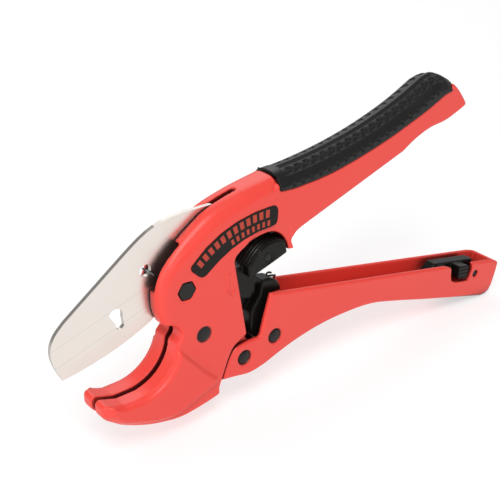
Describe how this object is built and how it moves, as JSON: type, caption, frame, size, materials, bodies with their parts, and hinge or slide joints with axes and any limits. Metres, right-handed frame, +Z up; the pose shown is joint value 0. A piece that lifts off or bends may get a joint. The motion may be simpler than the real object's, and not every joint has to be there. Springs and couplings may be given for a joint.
{
  "type": "pvc pipe cutter",
  "caption": "Ratchet shears for plastic pipe: swinging steel blade over a hooked jaw, fixed grip handle, squeezing feed handle, release lever and end latch.",
  "frame": {"origin": "centre of the tool's bounding box, with the handles open and the blade over the jaw", "axes": "+X from the blade and jaw towards the handle ends, +Y across the tool's width towards the nut side, +Z up from the moving handle towards the fixed grip"},
  "size_m": [0.2768, 0.0226, 0.1378],
  "materials": {
    "red_paint": "satin red powder coat",
    "black_rubber": "matt",
    "black_plastic": "satin",
    "black_label": "satin film",
    "black_steel": "black oxide",
    "blade_steel": "fine ground",
    "spring_steel": "drawn wire",
    "bronze": "sintered"
  },
  "bodies": {
    "frame": {"body_casting": "red_paint", "grip_cover": "black_rubber", "side_label": "black_label", "pivot_bolt": "black_steel", "pivot_nut": "black_steel", "pivot_bush": "bronze", "thrust_washer_near": "bronze", "thrust_washer_far": "bronze", "spring_pin": "black_steel", "release_pin": "black_steel"},
    "blade": {"blade": "blade_steel", "blade_spring": "spring_steel"},
    "release_lever": {"release_lever": "black_plastic", "release_spring": "spring_steel"},
    "moving_handle": {"moving_handle": "red_paint", "handle_pivot_pin": "black_steel", "handle_spring": "spring_steel", "pawl_pin": "black_steel", "latch_pin": "black_steel"},
    "feed_pawl": {"feed_pawl": "black_plastic", "pawl_spring": "black_steel"},
    "end_latch": {"end_latch": "black_plastic"}
  },
  "joints": [
    {"name": "blade_swing", "type": "hinge", "parent": "frame", "child": "blade", "pos_m": [-0.07499, 0, 0.00532], "axis": [0, -1, 0], "range_deg": [-32, 43], "deforming": ["blade_spring"]},
    {"name": "handle_squeeze", "type": "hinge", "parent": "frame", "child": "moving_handle", "pos_m": [-0.04329, 0, -0.04149], "axis": [0, -1, 0], "range_deg": [0, 17]},
    {"name": "feed_pawl_swing", "type": "hinge", "parent": "moving_handle", "child": "feed_pawl", "pos_m": [-0.02499, 0, -0.03669], "axis": [0, -1, 0], "range_deg": [-29, 0], "deforming": ["pawl_spring"]},
    {"name": "release_press", "type": "hinge", "parent": "frame", "child": "release_lever", "pos_m": [-0.02949, 0, 0.00681], "axis": [0, -1, 0], "range_deg": [0, 5]},
    {"name": "latch_swing", "type": "hinge", "parent": "moving_handle", "child": "end_latch", "pos_m": [0.11901, 0, -0.05219], "axis": [0, 1, 0], "range_deg": [0, 27]}
  ],
  "couplings": [
    {"joint": "feed_pawl_swing", "follows": "handle_squeeze", "ratio": -1.7}
  ]
}
